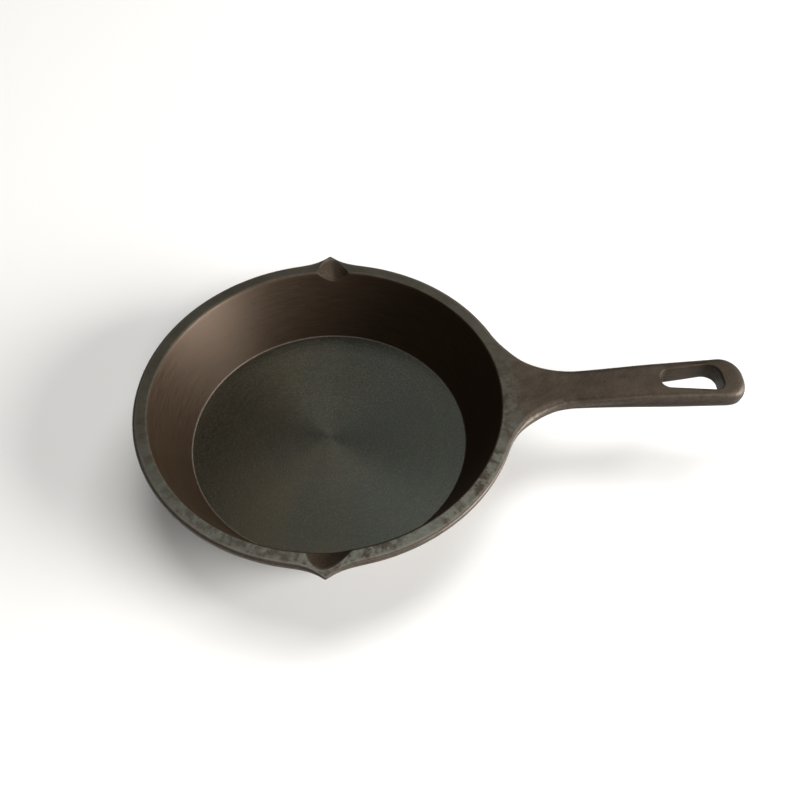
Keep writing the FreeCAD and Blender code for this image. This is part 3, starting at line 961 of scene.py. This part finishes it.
def cast_iron(name):
    """Seasoned iron: sandy where it is as cast, turned inside the wall, ground on the rim."""
    nodes = Nodes(name)
    wall_start = FLOOR_RADIUS - INNER_LEAN * FLOOR_HEIGHT
    wall_line = nodes.math("MULTIPLY_ADD", nodes.z, INNER_LEAN, wall_start)
    off_wall = nodes.math("SUBTRACT", nodes.radius, wall_line)
    above_floor = nodes.step(nodes.z, UPPER_START, UPPER_FULL)
    turned = nodes.times(nodes.step(off_wall, 0.05, 0.6, 1.0, 0.0), above_floor)
    level = nodes.step(nodes.z, RIM_HEIGHT - 0.5, RIM_HEIGHT - 0.05)
    off_handle = nodes.step(nodes.x, GROUND_END, CAST_START, 1.0, 0.0)
    ground = nodes.times(level, off_handle, nodes.math("SUBTRACT", 1.0, turned))

    cast = as_cast(nodes)
    rim_colour, rim_rough = ground_rim(nodes, cast["grain"], cast["cloud"])
    wall_colour, wall_rough, marks = turned_wall(nodes)
    # Rounded edges lighter and smoother: partly wear, partly a painted highlight in the lighter colour
    sharp = nodes.step(nodes.attribute("edge"), 0.05, 0.5)
    wear_and_highlight = nodes.times(sharp, nodes.step(cast["grain"], 0.25, 0.55, 0.4, 1.0))

    colour = nodes.mixed(ground, cast["colour"], rim_colour)
    colour = nodes.mixed(turned, colour, wall_colour)
    colour = nodes.mixed(nodes.times(wear_and_highlight, 0.45), colour, WORN_EDGE_AND_HIGHLIGHT)
    rough = nodes.mixed_value(ground, cast["rough"], rim_rough)
    rough = nodes.mixed_value(turned, rough, wall_rough)
    rough = nodes.mixed_value(nodes.times(wear_and_highlight, 0.8), rough, 0.36)
    fine = nodes.noise(nodes.place, 1.5, 3.0, 0.6)
    turned_normal = nodes.relief(marks, 0.02, nodes.relief(fine, 0.045))
    normal = nodes.mixed_vector(ground, cast["normal"], nodes.relief(fine, 0.05))
    normal = nodes.mixed_vector(turned, normal, turned_normal)
    nodes.set(Base_Color=colour, Roughness=rough, Normal=normal)
    nodes.set(Metallic=0.5, Specular_IOR_Level=nodes.mixed_value(turned, 0.3, 0.75))
    nodes.set(Specular_Tint=nodes.mixed(turned, WHITE, WALL_SHEEN))
    return nodes.material


def turned_floor(name):
    """The floor that the lathe faced: fine rings with a fan of sheen, browner to the left as a painted
    reflection, and as cast underneath.
    """
    nodes = Nodes(name)
    upper = nodes.step(nodes.z, UPPER_START, UPPER_FULL)
    across = nodes.vector(0.0, 0.0, nodes.times(nodes.radius, 2.2))
    rings = nodes.noise(nodes.add(nodes.scaled(nodes.heading, 0.6), across), 1.0, 4.0, 0.7)
    speck = nodes.noise(nodes.place, 1.7, 3.0, 0.6)
    cloud = nodes.noise(nodes.place, 0.03, 3.0, 0.6)
    # Painted reflection: browner towards the left, as if the floor mirrored the wall, greyer to the
    # right
    reflected_brown_fade = nodes.math("MULTIPLY_ADD", cloud, -80.0, nodes.math("SUBTRACT", nodes.x, -34.0))
    iron = nodes.mixed(nodes.step(reflected_brown_fade, -40.0, 15.0), FLOOR_REFLECTED_BROWN, FLOOR_GREY)
    iron = nodes.mixed(nodes.step(speck, 0.45, 0.66, 0.0, 0.42), iron, FLOOR_SPECK)
    iron = nodes.mixed(nodes.step(rings, 0.5, 0.75, 0.0, 0.2), iron, FLOOR_SPECK)
    # Painted highlight: a thin light ring at the floor's edge
    floor_rim_highlight = nodes.step(nodes.radius, FLOOR_RADIUS - 0.6, FLOOR_RADIUS - 0.2, 0.0, 0.5)
    iron = nodes.mixed(floor_rim_highlight, iron, WORN_EDGE_AND_HIGHLIGHT)
    iron_rough = nodes.mixed_value(nodes.step(speck, 0.3, 0.7), 0.3, 0.42)
    iron_normal = nodes.relief(rings, 0.010, nodes.relief(speck, 0.06))

    cast = as_cast(nodes)
    colour = nodes.mixed(upper, cast["colour"], iron)
    rough = nodes.mixed_value(upper, cast["rough"], iron_rough)
    normal = nodes.mixed_vector(upper, cast["normal"], iron_normal)
    tangent = nodes.node("ShaderNodeTangent", direction_type="RADIAL", axis="Z").outputs[0]
    nodes.set(Base_Color=colour, Roughness=rough, Normal=normal, Tangent=tangent)
    nodes.set(Metallic=nodes.mixed_value(upper, 0.5, 0.8), Specular_IOR_Level=0.3)
    nodes.set(Anisotropic=nodes.times(upper, 0.86), Anisotropic_Rotation=FLOOR_SHEEN_TURN)
    return nodes.material


def stage_material(name):
    """A pale matt floor with a very faint mottle."""
    nodes = Nodes(name)
    mottle = nodes.noise(nodes.place, 0.004, 2.0)
    nodes.set(Base_Color=nodes.mixed(mottle, STAGE_DARK, STAGE_LIGHT), Roughness=0.9)
    return nodes.material


# ---------------------------------------------------------------- stage


def make_stage():
    """A plain pale floor."""
    mesh = bpy.data.meshes.new("stage_floor")
    half = STAGE_HALF
    corners = [(-half, -half, 0.0), (half, -half, 0.0), (half, half, 0.0), (-half, half, 0.0)]
    mesh.from_pydata(corners, [], [(0, 1, 2, 3)])
    floor = bpy.data.objects.new("stage_floor", mesh)
    floor.data.materials.append(stage_material("stage"))
    bpy.context.scene.collection.objects.link(floor)


def area_light(name, azimuth, elevation, distance, size, power, colour):
    """A soft light that faces the bowl's centre. Azimuth turns from +X towards +Y."""
    data = bpy.data.lights.new(name, "AREA")
    data.shape = "DISK"
    data.size = size
    data.energy = power
    data.color = colour
    light = bpy.data.objects.new(name, data)
    turn, rise = math.radians(azimuth), math.radians(elevation)
    level = math.cos(rise)
    away = Vector((level * math.cos(turn), level * math.sin(turn), math.sin(rise)))
    light.location = Vector((0.0, 0.0, RIM_HEIGHT * MM)) + away * distance
    light.rotation_euler = away.to_track_quat("Z", "Y").to_euler()
    bpy.context.scene.collection.objects.link(light)


def make_lights():
    """The lamps, and a pale surrounding that the camera sees past the floor and that lights nothing."""
    world = bpy.data.worlds.new("studio")
    world.use_nodes = True
    tree = world.node_tree
    background = tree.nodes["Background"]
    background.inputs["Color"].default_value = SURROUNDING
    seen = tree.nodes.new("ShaderNodeLightPath").outputs["Is Camera Ray"]
    tree.links.new(seen, background.inputs["Strength"])
    bpy.context.scene.world = world
    for name, azimuth, elevation, distance, size, power, colour in LIGHTS:
        area_light(name, azimuth, elevation, distance, size, power, colour)


def make_camera():
    """The camera, placed about the centre of the rim's plane."""
    aim = Vector((0.0, 0.0, RIM_HEIGHT * MM))
    level = Matrix.Rotation(math.radians(CAMERA_AZIMUTH), 4, "Z")
    tilt = Matrix.Rotation(math.radians(90.0 - CAMERA_ELEVATION), 4, "X")
    back = Matrix.Translation((0.0, 0.0, CAMERA_DISTANCE * MM))
    yaw = Matrix.Rotation(math.radians(CAMERA_YAW), 4, "Y")
    pitch = Matrix.Rotation(math.radians(CAMERA_PITCH), 4, "X")
    roll = Matrix.Rotation(math.radians(CAMERA_ROLL), 4, "Z")
    data = bpy.data.cameras.new("camera")
    data.lens = CAMERA_LENS
    data.sensor_width = CAMERA_SENSOR
    data.clip_start = CAMERA_CLIP
    camera = bpy.data.objects.new("camera", data)
    camera.matrix_world = Matrix.Translation(aim) @ level @ tilt @ back @ yaw @ pitch @ roll
    bpy.context.scene.collection.objects.link(camera)
    bpy.context.scene.camera = camera


REGIONS = (
    ("floor", "turned_floor", "pan_floor"),
    ("wall", "flared_wall", "side_wall"),
    ("spout_left", "spout_left", "pour_spout_left"),
    ("spout_right", "spout_right", "pour_spout_right"),
    ("root", "root_of_handle", "handle_root"),
    ("neck", "neck_of_handle", "handle_neck"),
    ("eye", "eye_of_handle", "hanging_eye"),
)

make_stage()
make_lights()
make_camera()
iron = cast_iron("seasoned_iron")
floor_iron = turned_floor("turned_iron")
mesh, regions = casting_mesh()
covers = {"edge": edge_sharpness(mesh), "painted_shade": painted_shade_cover(mesh)}
for region, name, node in REGIONS:
    piece = region_piece(mesh, regions, covers, region, name, node)
    on_floor = region == "floor"
    piece.data.materials.append(floor_iron if on_floor else iron)
bpy.context.scene.view_settings.view_transform = "Standard"
